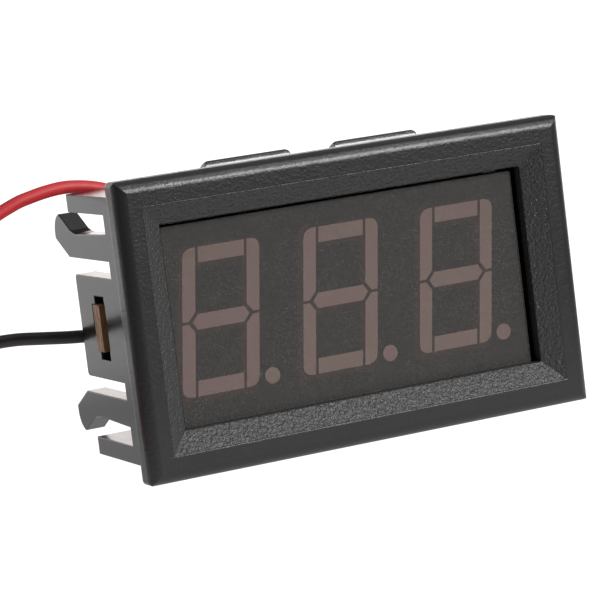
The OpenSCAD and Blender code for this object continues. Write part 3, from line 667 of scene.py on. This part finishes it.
dress(insulation("red_insulation", (0.52, 0.020, 0.026), (0.60, 0.030, 0.038), 0.5), "red_wire")
dress(insulation("black_insulation", (0.030, 0.027, 0.027), (0.044, 0.040, 0.040), 0.45), "black_wire")
dress(insulation("tie_nylon", (0.014, 0.014, 0.014), (0.028, 0.028, 0.028), 0.42), "red_bundle_tie", "black_bundle_tie")
dress(plain_finish("tinned_strands", (0.56, 0.53, 0.48), (0.74, 0.72, 0.70), 0.2 * MM, 0.3, 1.0, 0.01 * MM),
      "red_stripped_end", "black_stripped_end")

# %% [markdown]
# The floor is a pale sheet. Its light comes partly from itself, so that it stays even and pale
# in the picture and the meter's shadow on it stays faint. For the light that reaches the meter, its glow comes in
# patches that stand in for lamps: strongest behind the meter, strong close round it, faint far to the left, and none
# elsewhere in front.

# %% Floor
floor = mesh_piece("floor", np.array([[-4, -4, 0], [4, -4, 0], [4, 6, 0], [-4, 6, 0]], float), [(0, 1, 2, 3)])
floor_material, tree, output = node_material("pale_floor")
seen = add(tree, "ShaderNodeLightPath").outputs["Is Camera Ray"]
vector, x, y, z = place_of(tree)
# glow that only lights the meter, in patches near it, behind it and far to the left
away = add(tree, "ShaderNodeVectorMath", {0: vector}, operation="LENGTH").outputs["Value"]
near = sums(tree, "SUBTRACT", 1.0, step_up(tree, away, 0.035, 0.09))
behind = step_up(tree, y, 0.0, 0.09)
left = sums(tree, "MULTIPLY", sums(tree, "SUBTRACT", 1.0, step_up(tree, x, -0.12, -0.02)), 0.19)
front = sums(tree, "MAXIMUM", sums(tree, "MULTIPLY", near, 0.9), left)
cast = sums(tree, "MAXIMUM", front, sums(tree, "MULTIPLY", behind, 1.37))
unseen = sums(tree, "MULTIPLY", cast, sums(tree, "SUBTRACT", 1.0, seen))
glow = add(tree, "ShaderNodeEmission", {"Strength": sums(tree, "MULTIPLY_ADD", seen, 1.5, unseen)})
matt = add(tree, "ShaderNodeBsdfDiffuse", {"Color": (0.8, 0.8, 0.8, 1)})
mix = add(tree, "ShaderNodeMixShader", {0: 0.3, 1: glow.outputs[0], 2: matt.outputs[0]})
tree.links.new(mix.outputs[0], output.inputs["Surface"])
floor.data.materials.append(floor_material)

# %% [markdown]
# Light: a group of soft boxes to the front right makes the long highlight on the upper front
# edge, and the lower slope of the recess mirrors its upper part. Weak ones from above, from the
# right and from behind light the tops, and a wide low one behind shines along the level tops of
# the arms. The sky is bright where it is seen and dim where it only lights the meter.

# %% Light
def soft_box(name, turn, height, distance, size, power, colour=(1, 1, 1)):
    """
    A rectangular area light turned towards the meter, at a distance from it. The turn goes from
    straight in front towards +X and the height up from the floor, both in degrees.
    """
    data = bpy.data.lights.new(name, "AREA")
    data.shape = "RECTANGLE"
    data.size, data.size_y = size
    data.energy = power
    data.color = colour
    lamp = bpy.data.objects.new(name, data)
    turn, height = math.radians(turn), math.radians(height)
    flat = math.cos(height)
    direction = Vector((math.sin(turn) * flat, -math.cos(turn) * flat, math.sin(height)))
    lamp.location = Vector((0, 0, bezel_height / 2)) + direction * distance
    lamp.rotation_euler = direction.to_track_quat("Z", "Y").to_euler()
    bpy.context.collection.objects.link(lamp)


soft_box("key_low", 26, 18, 0.8, (0.17, 0.14), 1.76)
soft_box("key_high", 26, 28, 0.8, (0.17, 0.14), 2.2)
soft_box("key_right", 38, 28, 0.8, (0.17, 0.14), 1.3)
soft_box("overhead", 0, 80, 0.8, (0.4, 0.4), 0.8)
soft_box("right", 85, 25, 0.8, (0.4, 0.4), 1.2)
soft_box("key_top", 45, 54, 0.8, (0.17, 0.14), 0.8)
soft_box("rear", 137, 52, 0.8, (0.4, 0.3), 0.2)
soft_box("backdrop", 180, 10, 0.6, (1.0, 0.3), 1.7, (1.0, 0.93, 0.91))

world = bpy.data.worlds.new("sky")
world.use_nodes = True
tree = world.node_tree
seen = add(tree, "ShaderNodeLightPath").outputs["Is Camera Ray"]
sky = tree.nodes["Background"]
sky.inputs["Color"].default_value = (1, 1, 1, 1)
tree.links.new(sums(tree, "MULTIPLY_ADD", seen, 0.94, 0.06), sky.inputs["Strength"])
bpy.context.scene.world = world
bpy.context.scene.view_settings.view_transform = "Standard"
